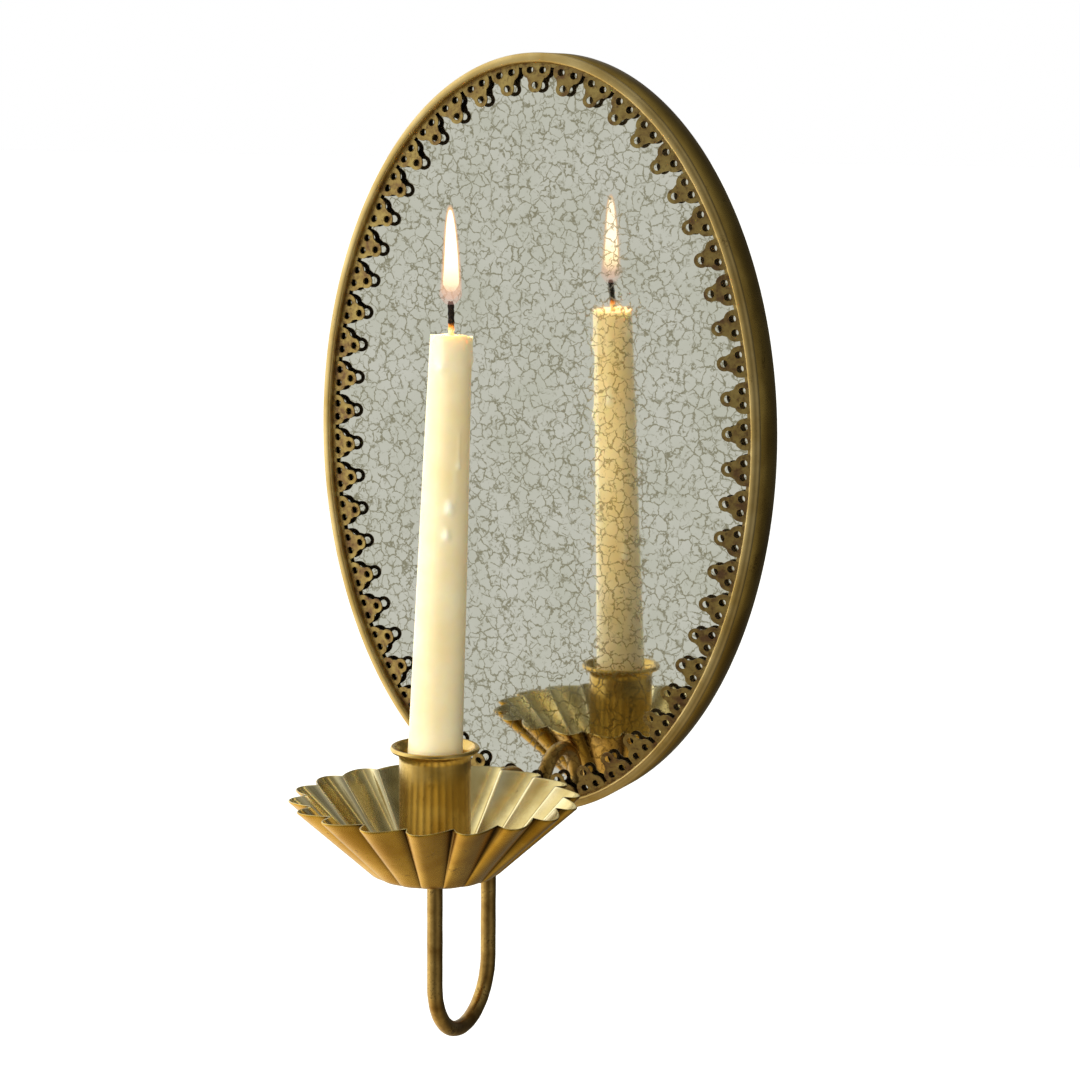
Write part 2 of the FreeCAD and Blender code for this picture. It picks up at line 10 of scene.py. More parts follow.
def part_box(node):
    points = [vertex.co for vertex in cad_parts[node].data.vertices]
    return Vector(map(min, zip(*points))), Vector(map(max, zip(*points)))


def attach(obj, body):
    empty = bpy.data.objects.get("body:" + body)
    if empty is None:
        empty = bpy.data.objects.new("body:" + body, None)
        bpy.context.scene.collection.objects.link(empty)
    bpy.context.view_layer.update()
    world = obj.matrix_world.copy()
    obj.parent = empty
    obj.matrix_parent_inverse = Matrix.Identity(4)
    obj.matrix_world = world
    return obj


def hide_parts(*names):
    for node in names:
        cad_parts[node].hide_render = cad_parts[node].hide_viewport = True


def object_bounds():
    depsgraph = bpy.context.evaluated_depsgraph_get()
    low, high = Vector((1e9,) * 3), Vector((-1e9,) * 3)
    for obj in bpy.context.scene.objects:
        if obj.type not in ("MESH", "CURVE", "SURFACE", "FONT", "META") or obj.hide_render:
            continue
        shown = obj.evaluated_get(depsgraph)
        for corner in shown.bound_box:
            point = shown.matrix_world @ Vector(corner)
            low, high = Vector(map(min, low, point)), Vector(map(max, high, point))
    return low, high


# Wall sconce with an oval antiqued mirror and a swivelling candle arm. Lengths are in metres, in
# the design's own frame: +X right, +Y into the wall, +Z up. An azimuth is measured about an upright
# axis, from the room side (-Y) towards +X.

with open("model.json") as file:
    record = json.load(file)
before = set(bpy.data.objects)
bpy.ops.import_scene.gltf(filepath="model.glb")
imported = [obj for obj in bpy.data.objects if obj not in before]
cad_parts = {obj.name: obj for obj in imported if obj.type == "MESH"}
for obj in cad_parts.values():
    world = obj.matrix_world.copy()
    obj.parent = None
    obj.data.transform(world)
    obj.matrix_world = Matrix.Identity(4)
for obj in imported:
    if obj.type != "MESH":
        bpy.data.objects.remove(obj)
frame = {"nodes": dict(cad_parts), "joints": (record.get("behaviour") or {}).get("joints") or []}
cad_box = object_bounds()

MM = 0.001
TAU = 2 * math.pi


def node_box(node):
    """Lowest and highest corner of a node, as arrays."""
    low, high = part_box(node)
    return np.array(low), np.array(high)


# --- Places read from the frame ---------------------------------------------------------------

band_low, band_high = node_box("frame_band")
bead_low = node_box("frame_bead")[0]
glass_low = node_box("mirror_glass")[0]
tray_low, tray_high = node_box("drip_tray")
cup_low, cup_high = node_box("candle_cup")
wick_low, wick_high = node_box("candle_wick")
rod_low, rod_high = node_box("arm_rod")
socket_low, socket_high = node_box("arm_socket")
washer_high = node_box("thrust_washer")[1]
nut_high = node_box("acorn_nut")[1]

oval_a = (band_high[0] - band_low[0]) / 2
oval_b = (band_high[2] - band_low[2]) / 2
oval_z = (band_high[2] + band_low[2]) / 2
band_front = -band_low[1]
band_back = -band_high[1]
bead_face = -bead_low[1]
mirror_y = glass_low[1]
candle_y = (cup_low[1] + cup_high[1]) / 2
pivot_y = (socket_low[1] + socket_high[1]) / 2

# --- Sizes repeated from the design -----------------------------------------------------------

BAND_WALL = 1.2 * MM
BEAD_W = 4.2 * MM
BEAD_CROWN = 0.7
GALLERY_T = 0.6 * MM
TAB_PITCH = 14.5 * MM
TAB_ROOT_GAP = 0.3 * MM
TAB_SHOULDER = 2.6 * MM
TAB_BASE_PITCH = 5.6 * MM
TAB_TIP_RISE = 6.1 * MM
TAB_HOLE_R = 1.5 * MM
TAB_LEAN = math.radians(11.0)
ARCH_R = 17.5 * MM
PIVOT_R = 2.5 * MM
NUT_H = 2.6 * MM
SCREW_R = 2.0 * MM
TRAY_T = 0.8 * MM
TRAY_CORNER_R = 26.6 * MM
TRAY_CORNER_H = 2.6 * MM
TRAY_CREASE_DEPTH = 6.8 * MM
TRAY_CREASE_RISE = 0.7 * MM
FLUTES = 18
FIRST_CREASE = math.radians(-4.6)
CUP_T = 1.0 * MM
CUP_FLARE = 3.45 * MM
CUP_ROLL_R = 1.05 * MM
CANDLE_LEN = 205.0 * MM
CANDLE_BASE_R = 11.0 * MM
CANDLE_END_R = 9.5 * MM
CANDLE_END_H = 20.0 * MM
CANDLE_TOP_R = 8.1 * MM
CANDLE_MELT_R = 6.2 * MM
CANDLE_MELT_H = 1.6 * MM
WICK_R = 1.3 * MM
WICK_LEN = 12.0 * MM
WICK_SUNK = 8.0 * MM

# --- Fineness of the meshes -------------------------------------------------------------------

OVAL_STEPS = 512
ROD_SIDES = 40
STEPS_PER_FLUTE = 30
CUP_SIDES = 128
CANDLE_SIDES = 168
WICK_SIDES = 24
FLAME_SIDES = 40
BURR_SIDES = 14
LENGTH_STEPS = 20000


# --- Mesh making ------------------------------------------------------------------------------

def skin(rings, wrap_rows=False, cap_ends=False):
    """Points and faces of a surface given as rows of closed rings. Neighbouring rings are joined
    by quads. The last ring joins the first, or each end is closed by a fan about its middle."""
    rows, cols = rings.shape[:2]
    row = np.arange(rows if wrap_rows else rows - 1)[:, None]
    col = np.arange(cols)
    up, on = (row + 1) % rows, (col + 1) % cols
    quads = np.stack([row * cols + col, row * cols + on, up * cols + on, up * cols + col], axis=-1)
    points, faces = rings.reshape(-1, 3), quads.reshape(-1, 4).tolist()
    if cap_ends:
        points = np.vstack([points, rings[0].mean(axis=0), rings[-1].mean(axis=0)])
        last = (rows - 1) * cols
        faces += np.stack([on, col, np.full(cols, rows * cols)], axis=-1).tolist()
        faces += np.stack([last + col, last + on, np.full(cols, rows * cols + 1)], axis=-1).tolist()
    return points, faces


def new_piece(name, points, faces, body, slot, nodes, *finishes):
    """A smooth mesh object at the origin that rides on a body and stands for CAD nodes. A closed
    shell whose volume comes out negative is inside out and is turned round."""
    mesh = bpy.data.meshes.new(name)
    mesh.from_pydata(points.tolist(), [], faces)
    mesh.polygons.foreach_set("use_smooth", np.ones(len(mesh.polygons), bool))
    shell = bmesh.new()
    shell.from_mesh(mesh)
    if shell.calc_volume(signed=True) < 0:
        mesh.flip_normals()
    shell.free()
    for finish in finishes:
        mesh.materials.append(finish)
    mesh.update()
    piece = bpy.data.objects.new(name, mesh)
    bpy.context.scene.collection.objects.link(piece)
    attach(piece, body)
    if nodes:
        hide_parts(*nodes)
    return piece


def keep_value(piece, name, values):
    """Stores one number per point on the mesh, for a material to read."""
    store = piece.data.attributes.new(name, "FLOAT", "POINT")
    store.data.foreach_set("value", np.asarray(values, np.float32).ravel())


def turned(profile, centre, sides):
    """Rings of a profile of (radius, height) points turned about an upright axis."""
    azimuth = np.arange(sides) / sides * TAU
    radius, height = np.asarray(profile, float).T
    x = centre[0] + radius[:, None] * np.sin(azimuth)
    y = centre[1] - radius[:, None] * np.cos(azimuth)
    z = centre[2] + height[:, None] + 0 * azimuth
    return np.stack([x, y, z], axis=-1)


def arc(centre, radius, first, last, count):
    """Points of a circular arc, from one angle to another in degrees."""
    angle = np.radians(np.linspace(first, last, count))
    return np.stack([centre[0] + radius * np.cos(angle), centre[1] + radius * np.sin(angle)], axis=-1)


def rounded_line(points, per_span):
    """A smooth line through points: Catmull-Rom spans, with the ends held."""
    p = np.asarray(points, float)
    p = np.vstack([2 * p[0] - p[1], p, 2 * p[-1] - p[-2]])
    t = np.linspace(0, 1, per_span, endpoint=False)[None, :, None]
    a, b, c, d = (p[i:len(p) - 3 + i][:, None, :] for i in range(4))
    line = 0.5 * (2 * b + (c - a) * t + (2 * a - 5 * b + 4 * c - d) * t**2 + (3 * b - 3 * c + d - a) * t**3)
    return np.vstack([line.reshape(-1, p.shape[1]), p[-2]])


def smooth_step(x):
    """Rises from 0 to 1 as x goes from 0 to 1, level at both ends."""
    x = np.clip(x, 0, 1)
    return x * x * (3 - 2 * x)


def oval_sweep(profile, count):
    """Rings of a closed profile of (inset, out) points carried round the oval: the point at angle t
    is ((a - inset) sin t, -out, (b - inset) cos t) from the oval's centre."""
    t = (np.arange(count) / count * TAU)[:, None]
    inset, out = np.asarray(profile, float).T
    x = (oval_a - inset) * np.sin(t)
    z = oval_z + (oval_b - inset) * np.cos(t)
    return np.stack([x, -out + 0 * t, z], axis=-1)


# --- Materials --------------------------------------------------------------------------------

def colour(code):
    """An sRGB hex value as linear RGBA."""
    parts = [int(code[i:i + 2], 16) / 255 for i in (1, 3, 5)]
    return [c / 12.92 if c <= 0.04045 else ((c + 0.055) / 1.055) ** 2.4 for c in parts] + [1.0]


def add(tree, kind, settings=None, stops=(), **links):
    """Adds a node with its settings, its ramp's stops and its links. A link's name is that of the
    input with _ for a space, or i and the input's number. A node stands for its first output."""
    node = tree.nodes.new(kind)
    for key, value in (settings or {}).items():
        if isinstance(key, str) and hasattr(node, key):
            setattr(node, key, value)
        else:
            node.inputs[key].default_value = value
    for index, (position, value) in enumerate(stops):
        if index > 1:
            node.color_ramp.elements.new(position)
        node.color_ramp.elements[index].position = position
        node.color_ramp.elements[index].color = colour(value) if isinstance(value, str) else [value] * 3 + [1]
    for key, source in links.items():
        target = node.inputs[int(key[1:])] if key[1:].isdigit() else node.inputs[key.replace("_", " ")]
        tree.links.new(getattr(source, "outputs", [source])[0], target)
    return node


def start_material(name):
    """An empty node material, its tree and its object coordinates."""
    material = bpy.data.materials.new(name)
    material.use_nodes = True
    material.node_tree.nodes.clear()
    return material, material.node_tree, add(material.node_tree, "ShaderNodeTexCoord").outputs["Object"]


def aged_brass(name, light, dark, spot, rough, patch_mm, speck_cut, grain_stretch, crease=None):
    """Brass under thin uneven lacquer: broad patches of two tones, brown specks of tarnish about
    1 mm across, and a fine grain whose lines run where the stretch is small. The real grain is
    finer than 0.1 mm and is drawn at 0.35 mm so that it shows. The crease colour is painted light:
    it is mixed in where the crease value on the mesh is high, a dark one as painted shade in the
    creases and a pale one as painted highlight."""
    material, tree, place = start_material(name)
    patches = add(tree, "ShaderNodeTexNoise", {"Scale": 1 / (patch_mm * MM), "Detail": 4.0, "Roughness": 0.6},
                  Vector=place)
    tone = add(tree, "ShaderNodeValToRGB", stops=[(0.36, dark), (0.64, light)], Fac=patches)
    specks = add(tree, "ShaderNodeTexNoise", {"Scale": 1 / (1.1 * MM), "Detail": 4.0, "Roughness": 0.7},
                 Vector=place)
    clusters = add(tree, "ShaderNodeTexNoise", {"Scale": 1 / (9 * MM), "Detail": 3.0}, Vector=place)
    both = add(tree, "ShaderNodeMath", {"operation": "MULTIPLY"}, i0=specks, i1=clusters)
    mask = add(tree, "ShaderNodeValToRGB", stops=[(speck_cut, 0.0), (speck_cut + 0.09, 0.75)], Fac=both)
    base = add(tree, "ShaderNodeMix", {"data_type": "RGBA", 7: colour(spot)}, i0=mask, i6=tone)
    # Painted light at the creases: a dark crease colour is painted shade, a pale one painted highlight.
    if crease:
        painted_light_value = add(tree, "ShaderNodeAttribute", {"attribute_name": "crease"}).outputs["Fac"]
        ragged = add(tree, "ShaderNodeMath", {"operation": "MULTIPLY_ADD"}, i0=painted_light_value, i1=patches, i2=painted_light_value)
        share = add(tree, "ShaderNodeMapRange", {1: 0.1, 2: 1.3, 4: 0.9}, i0=ragged)
        base = add(tree, "ShaderNodeMix", {"data_type": "RGBA", 7: colour(crease)},
                   i0=share, i6=base.outputs[2])
    lines = add(tree, "ShaderNodeMapping", {"Scale": grain_stretch}, Vector=place)
    grain = add(tree, "ShaderNodeTexNoise", {"Scale": 1 / (0.35 * MM), "Detail": 3.0, "Roughness": 0.6},
                Vector=lines)
    gloss = add(tree, "ShaderNodeMapRange", {3: rough * 0.85, 4: rough * 1.3}, i0=grain)
    relief = add(tree, "ShaderNodeBump", {"Strength": 0.22, "Distance": 0.02 * MM}, Height=grain)
    dents = add(tree, "ShaderNodeTexNoise", {"Scale": 1 / (7 * MM), "Detail": 2.0}, Vector=place)
    shape = add(tree, "ShaderNodeBump", {"Strength": 0.15, "Distance": 0.12 * MM},
                Height=dents, Normal=relief)
    shader = add(tree, "ShaderNodeBsdfPrincipled", {"Metallic": 1.0}, Base_Color=base.outputs[2],
                 Roughness=gloss, Normal=shape)
    add(tree, "ShaderNodeOutputMaterial", Surface=shader)
    return material


EVEN = (1.0, 1.0, 1.0)
ROUND_UPRIGHT_AXIS = (0.04, 0.04, 1.0)
ALONG_Z = (1.0, 1.0, 0.05)


def oxidised_gallery():
    """Thin pierced brass with a warm tan face, purplish-brown oxide in patches and a back painted
    dark as shade, which the mirror shows. The object normal tells the back from the face."""
    material, tree, place = start_material("oxidised pierced brass")
    patches = add(tree, "ShaderNodeTexNoise", {"Scale": 1 / (6 * MM), "Detail": 4.0, "Roughness": 0.65},
                  Vector=place)
    tone = add(tree, "ShaderNodeValToRGB", stops=[(0.34, "#7B5E44"), (0.48, "#A08752"), (0.66, "#B69F62")],
               Fac=patches)
    blooms = add(tree, "ShaderNodeTexNoise", {"Scale": 1 / (2.2 * MM), "Detail": 4.0, "Roughness": 0.6},
                 Vector=place)
    mask = add(tree, "ShaderNodeValToRGB", stops=[(0.52, 0.0), (0.68, 0.8)], Fac=blooms)
    face = add(tree, "ShaderNodeMix", {"data_type": "RGBA", 7: colour("#6B5138")}, i0=mask, i6=tone)
    # The back faces the mirror and is painted dark: painted shade.
    facing = add(tree, "ShaderNodeTexCoord")
    parts = add(tree, "ShaderNodeSeparateXYZ", Vector=facing.outputs["Normal"])
    back = add(tree, "ShaderNodeValToRGB", stops=[(0.35, 0.0), (0.55, 1.0)], Fac=parts.outputs["Y"])
    base = add(tree, "ShaderNodeMix", {"data_type": "RGBA", 7: colour("#43382B")},
               i0=back, i6=face.outputs[2])
    gloss = add(tree, "ShaderNodeMapRange", {3: 0.3, 4: 0.52}, i0=blooms)
    relief = add(tree, "ShaderNodeBump", {"Strength": 0.3, "Distance": 0.08 * MM}, Height=blooms)
    shader = add(tree, "ShaderNodeBsdfPrincipled", {"Metallic": 1.0}, Base_Color=base.outputs[2],
                 Roughness=gloss, Normal=relief)
    add(tree, "ShaderNodeOutputMaterial", Surface=shader)
    return material


def plated_steel():
    """Zinc-plated steel: a cool grey metal with a soft uneven sheen."""
    material, tree, place = start_material("zinc-plated steel")
    cloud = add(tree, "ShaderNodeTexNoise", {"Scale": 1 / (3 * MM), "Detail": 3.0}, Vector=place)
    tone = add(tree, "ShaderNodeValToRGB", stops=[(0.3, "#8E8B84"), (0.7, "#B4B0A6")], Fac=cloud)
    gloss = add(tree, "ShaderNodeMapRange", {3: 0.26, 4: 0.4}, i0=cloud)
    shader = add(tree, "ShaderNodeBsdfPrincipled", {"Metallic": 1.0}, Base_Color=tone, Roughness=gloss)
    add(tree, "ShaderNodeOutputMaterial", Surface=shader)
    return material


def matt_solid(name, dark, light, grain_mm, rough, depth_mm):
    """A dull solid with a fine irregular grain, for moulded rubber, pressed hardboard and card."""
    material, tree, place = start_material(name)
    grain = add(tree, "ShaderNodeTexNoise", {"Scale": 1 / (grain_mm * MM), "Detail": 5.0, "Roughness": 0.7},
                Vector=place)
    tone = add(tree, "ShaderNodeValToRGB", stops=[(0.3, dark), (0.7, light)], Fac=grain)
    relief = add(tree, "ShaderNodeBump", {"Strength": 0.5, "Distance": depth_mm * MM}, Height=grain)
    shader = add(tree, "ShaderNodeBsdfPrincipled", {"Roughness": rough}, Base_Color=tone, Normal=relief)
    add(tree, "ShaderNodeOutputMaterial", Surface=shader)
    return material


def antiqued_mirror():
    """Silvered glass whose silver has crazed. The ground is a pale grey-green mirror, and broken
    olive veins 0.4 to 0.5 mm wide wander and branch between cells of 4.7 mm and 3 mm. The veins
    darken what the mirror shows."""
    material, tree, place = start_material("antiqued silvered glass")
    coarse = add(tree, "ShaderNodeTexNoise", {"Scale": 1 / (4.5 * MM), "Detail": 2.0}, Vector=place)
    fine = add(tree, "ShaderNodeTexNoise", {"Scale": 1 / (1.3 * MM), "Detail": 2.0}, Vector=place)
    bend = add(tree, "ShaderNodeVectorMath", {"operation": "MULTIPLY_ADD", 1: [3.6 * MM] * 3},
               i0=coarse.outputs["Color"], i2=place)
    jitter = add(tree, "ShaderNodeVectorMath", {"operation": "MULTIPLY_ADD", 1: [1.7 * MM] * 3},
                 i0=fine.outputs["Color"], i2=bend)
    veins = None
    for cell_mm, width, gate_mm, gate_at in ((4.7, 0.080, 3.4, 0.35), (3.0, 0.098, 3.8, 0.50)):
        cells = add(tree, "ShaderNodeTexVoronoi",
                    {"feature": "DISTANCE_TO_EDGE", "Scale": 1 / (cell_mm * MM)}, Vector=jitter)
        line = add(tree, "ShaderNodeValToRGB", stops=[(width * 0.25, 1.0), (width, 0.0)], Fac=cells)
        cloud = add(tree, "ShaderNodeTexNoise", {"Scale": 1 / (gate_mm * MM), "Detail": 3.0}, Vector=place)
        gate = add(tree, "ShaderNodeValToRGB", stops=[(gate_at, 0.0), (gate_at + 0.14, 1.0)], Fac=cloud)
        broken = add(tree, "ShaderNodeMath", {"operation": "MULTIPLY"}, i0=line, i1=gate)
        veins = broken if veins is None else add(tree, "ShaderNodeMath", {"operation": "MAXIMUM"},
                                                 i0=veins, i1=broken)
    haze = add(tree, "ShaderNodeTexNoise", {"Scale": 1 / (22 * MM), "Detail": 3.0}, Vector=place)
    ground = add(tree, "ShaderNodeValToRGB", stops=[(0.3, "#E2E3D8"), (0.7, "#EDEDE6")], Fac=haze)
    base = add(tree, "ShaderNodeMix", {"data_type": "RGBA", 7: colour("#A6A28C")}, i0=veins, i6=ground)
    gloss = add(tree, "ShaderNodeMapRange", {3: 0.03, 4: 0.13}, i0=veins)
    shader = add(tree, "ShaderNodeBsdfPrincipled", {"Metallic": 1.0}, Base_Color=base.outputs[2],
                 Roughness=gloss)
    add(tree, "ShaderNodeOutputMaterial", Surface=shader)
    return material


def ivory_wax():
    """Ivory paraffin: light enters it and comes out softly. Fresh drops are whiter than the
    candle's side, so the drop value on the mesh whitens them."""
    material, tree, place = start_material("ivory paraffin wax")
    mottle = add(tree, "ShaderNodeTexNoise", {"Scale": 1 / (14 * MM), "Detail": 3.0}, Vector=place)
    side = add(tree, "ShaderNodeValToRGB", stops=[(0.3, "#F3E5BE"), (0.7, "#F8EED2")], Fac=mottle)
    drop = add(tree, "ShaderNodeAttribute", {"attribute_name": "drop"}).outputs["Fac"]
    base = add(tree, "ShaderNodeMix", {"data_type": "RGBA", 7: colour("#FCF9EE")}, i0=drop, i6=side)
    relief = add(tree, "ShaderNodeBump", {"Strength": 0.2, "Distance": 0.2 * MM}, Height=mottle)
    values = {
        "Roughness": 0.38,
        "Subsurface Weight": 0.6,
        "Subsurface Radius": (1.0, 0.75, 0.4),
        "Subsurface Scale": 4 * MM,
        "Coat Weight": 0.15,
        "Coat Roughness": 0.25,
    }
    shader = add(tree, "ShaderNodeBsdfPrincipled", values, Base_Color=base.outputs[2], Normal=relief)
    add(tree, "ShaderNodeOutputMaterial", Surface=shader)
    return material


def burnt_cotton():
    """Braided cotton: ivory and scorched orange at its foot, charred black above."""
    material, tree, place = start_material("burnt cotton")
    strands = add(tree, "ShaderNodeTexNoise", {"Scale": 1 / (0.5 * MM), "Detail": 3.0}, Vector=place)
    rise = add(tree, "ShaderNodeAttribute", {"attribute_name": "rise"}).outputs["Fac"]
    ragged = add(tree, "ShaderNodeMath", {"operation": "MULTIPLY_ADD", 1: 0.12}, i0=strands, i2=rise)
    tone = add(tree, "ShaderNodeValToRGB", stops=[(0.10, "#F3DDB0"), (0.26, "#D9892E"), (0.36, "#120D0A")],
               Fac=ragged)
    relief = add(tree, "ShaderNodeBump", {"Strength": 0.8, "Distance": 0.2 * MM}, Height=strands)
    shader = add(tree, "ShaderNodeBsdfPrincipled", {"Roughness": 0.9}, Base_Color=tone, Normal=relief)
    add(tree, "ShaderNodeOutputMaterial", Surface=shader)
    return material


def flame_layer(name, tones, strength, clearness):
    """One layer of a candle flame: a glow whose colour and cover change with the height that is
    kept on the mesh. The foot is clear, so the wick shows through it."""
    material, tree, _ = start_material(name)
    rise = add(tree, "ShaderNodeAttribute", {"attribute_name": "rise"}).outputs["Fac"]
    tone = add(tree, "ShaderNodeValToRGB", stops=tones, Fac=rise)
    cover = add(tree, "ShaderNodeValToRGB", stops=clearness, Fac=rise)
    values = {"Base Color": colour("#000000"), "Roughness": 1.0, "IOR": 1.0, "Emission Strength": strength}
    shader = add(tree, "ShaderNodeBsdfPrincipled", values, Emission_Color=tone, Alpha=cover)
    add(tree, "ShaderNodeOutputMaterial", Surface=shader)
    return material


band_brass = aged_brass("aged lacquered sheet brass", "#B0944E", "#8C7238", "#4F3A18", 0.26, 26, 0.35, EVEN)
# The bead's brass is a paler copy of the band's: painted highlight for the light that the bead catches.
bead_brass = aged_brass("sheet brass painted pale as lit", "#D8BF84", "#BEA05E", "#7A6234", 0.36, 24, 0.37, EVEN)
# The tray's outside gets painted shade in its creases, and its inside gets painted highlight.
tray_outside = aged_brass("amber lacquered sheet brass", "#CFA646", "#B28628", "#6B4415",
                          0.25, 18, 0.34, EVEN, crease="#382006")
tray_inside = aged_brass("pale bare sheet brass", "#DACA94", "#BDA76C", "#8E7436",
                         0.22, 15, 0.38, EVEN, crease="#EFE2B8")
cup_brass = aged_brass("brushed brass tube", "#D4B670", "#B89448", "#7A5A20", 0.22, 20, 0.37,
                       ROUND_UPRIGHT_AXIS)
rod_brass = aged_brass("brown patinated brass rod", "#BF9D5A", "#8A6832", "#4A3418", 0.30, 9, 0.32, ALONG_Z)
strap_brass = aged_brass("brushed brass strip", "#B39654", "#93743A", "#5B421B", 0.36, 14, 0.32, ALONG_Z)
fixing_brass = aged_brass("turned brass", "#B99A58", "#96743A", "#5F451D", 0.28, 8, 0.35, EVEN)
gallery_brass = oxidised_gallery()


# --- Frame ------------------------------------------------------------------------------------

def oval_band():
    """The hoop's rectangular section, with its back edges rounded, carried round the oval."""
    edge = 0.45 * MM
    outer = arc((edge, band_back + edge), edge, 270, 180, 7)
    inner = arc((BAND_WALL - edge, band_back + edge), edge, 360, 270, 7)
    front = [(0, band_front), (BAND_WALL, band_front)]
    points, faces = skin(oval_sweep(np.vstack([outer, front, inner]), OVAL_STEPS), wrap_rows=True)
    new_piece("oval_band", points, faces, "frame", "band_brass", ["frame_band"], band_brass)


def front_bead():
    """A low rounded moulding whose crown is nearer its inner edge: two quarter ovals, in which the
    inset goes as the cosine of t and the height as its sine."""
    t = np.linspace(0, math.pi, 25)
    crown = BEAD_W * BEAD_CROWN
    inset = crown - np.where(t < math.pi / 2, crown, BEAD_W - crown) * np.cos(t)
    out = band_front + (bead_face - band_front) * np.sin(t)
    back = [(BEAD_W * 0.66, band_front), (BEAD_W * 0.33, band_front)]
    profile = np.vstack([np.stack([inset, out], axis=-1), back])
    points, faces = skin(oval_sweep(profile, OVAL_STEPS), wrap_rows=True)
    new_piece("front_bead", points, faces, "frame", "band_brass", ["frame_bead"], bead_brass)


def hole_rims():
    """A fine raised burr round each hole of the gallery. The tabs stand at even steps of arc
    length, from the top, along the bead's inner edge. A tab's own axes are along the edge,
    up the leaning tab, and out of its face. Each burr is a small ring in those axes."""
    a = oval_a - BEAD_W - TAB_ROOT_GAP
    b = oval_b - BEAD_W - TAB_ROOT_GAP
    t = np.linspace(0, TAU, LENGTH_STEPS + 1)
    step = np.hypot(a * np.cos(t), b * np.sin(t))
    length = np.concatenate([[0], np.cumsum((step[1:] + step[:-1]) / 2 * np.diff(t))])
    count = 2 * round(length[-1] / (2 * TAB_PITCH))
    at = np.interp(np.arange(count) / count * length[-1], length, t)
    zero = np.zeros(count)
    root = np.stack([a * np.sin(at), zero - band_front + GALLERY_T, oval_z + b * np.cos(at)], axis=-1)
    along = np.stack([a * np.cos(at), zero, -b * np.sin(at)], axis=-1)
    along /= np.linalg.norm(along, axis=-1, keepdims=True)
    forward = np.array([0, -1.0, 0])
    inward = np.cross(along, forward)
    to_centre = np.array([0, 0, oval_z]) - root
    inward *= np.sign(np.sum(inward * to_centre, axis=-1, keepdims=True) + 1e-9)
    rise = inward * math.cos(TAB_LEAN) + forward * math.sin(TAB_LEAN)
    face = np.cross(rise, along)
    face *= np.sign(-face[:, 1:2])
    holes = np.array([[-TAB_BASE_PITCH / 2, TAB_SHOULDER], [TAB_BASE_PITCH / 2, TAB_SHOULDER],
                      [0, TAB_SHOULDER + TAB_TIP_RISE]])
    middle = (root[:, None] + holes[:, 0, None] * along[:, None] + holes[:, 1, None] * rise[:, None]
              + GALLERY_T * face[:, None]).reshape(-1, 1, 1, 3)
    side, up, out = (np.repeat(v, 3, axis=0)[:, None, None] for v in (along, rise, face))
    turn = (np.arange(BURR_SIDES) / BURR_SIDES * TAU)[None, :, None, None]
    tube = (np.arange(4) / 4 * TAU + TAU / 8)[None, None, :, None]
    tube_r = 0.13 * MM
    radius = TAB_HOLE_R + tube_r * 0.7 + tube_r * np.cos(tube)
    rings = middle + radius * (np.cos(turn) * side + np.sin(turn) * up) + tube_r * np.sin(tube) * out
    each = rings.shape[1] * rings.shape[2]
    faces = np.array(skin(rings[0], wrap_rows=True)[1])
    faces = (faces[None] + np.arange(len(rings))[:, None, None] * each).reshape(-1, 4)
    new_piece("hole_rims", rings.reshape(-1, 3), faces.tolist(), "frame", "gallery_bronze", [], gallery_brass)


# --- Arm --------------------------------------------------------------------------------------

def bent_rod():
    """A round section carried along the pin, arch, back limb, U-bend and front limb. The path lies
    in the plane x = 0, and its normal is its tangent turned a quarter in that plane. The rod's
    radius is uneven by about one percent. The pin ends in the nut, above the nut's dome."""
    rod_r = rod_high[0]
    arch_z = rod_high[2] - ARCH_R - rod_r
    back_limb = -pivot_y + 2 * ARCH_R
    bend_r = (-candle_y - back_limb) / 2
    bend_z = rod_low[2] + bend_r + rod_r
    shoulder = washer_high[2]
    pin_end = nut_high[2] - NUT_H
    chamfer = 0.35 * MM
    pin = [(-pivot_y, pin_end), (-pivot_y, shoulder), (-pivot_y, shoulder + 0.01 * MM)]
    collar = [(-pivot_y, shoulder + chamfer), (-pivot_y, shoulder + 1.2 * MM)]
    arch = arc((-pivot_y + ARCH_R, arch_z), ARCH_R, 180, 0, 48)
    bend = arc((back_limb + bend_r, bend_z), bend_r, 180, 360, 64)
    limb = np.linspace(arch_z, bend_z, 24)[1:-1]
    front = np.linspace(bend_z, tray_low[2], 22)[1:]
    path = np.vstack([pin, collar, arch, np.stack([0 * limb + back_limb, limb], axis=-1), bend,
                      np.stack([0 * front - candle_y, front], axis=-1)])
    radius = np.full(len(path), rod_r)
    radius[:2] = PIVOT_R
    radius[2] = rod_r - chamfer
    place = np.arange(len(path) - 6)
    radius[5:-1] *= 1 + 0.012 * np.sin(place * 0.9) * np.sin(place * 0.23)
    tangent = np.gradient(path, axis=0)
    tangent /= np.linalg.norm(tangent, axis=-1, keepdims=True)
    tangent[:5] = (0, 1)
    turn = np.arange(ROD_SIDES) / ROD_SIDES * TAU
    across = radius[:, None] * np.sin(turn)
    out = path[:, 0, None] - tangent[:, 1, None] * across
    z = path[:, 1, None] + tangent[:, 0, None] * across
    rings = np.stack([radius[:, None] * np.cos(turn), -out, z], axis=-1)
    points, faces = skin(rings, cap_ends=True)
    new_piece("bent_rod", points, faces, "arm", "arm_brass", ["arm_rod"], rod_brass)


def lobe(azimuth):
    """How far a flute bulges, 0 at its creases and 1 on its crest: sin(pi q^0.53), where q runs
    from 0 to 1 across the flute. It climbs steeply out of one crease and sinks slowly to the next."""
    q = ((azimuth - FIRST_CREASE) / TAU * FLUTES) % 1
    return np.sin(math.pi * q**0.53)


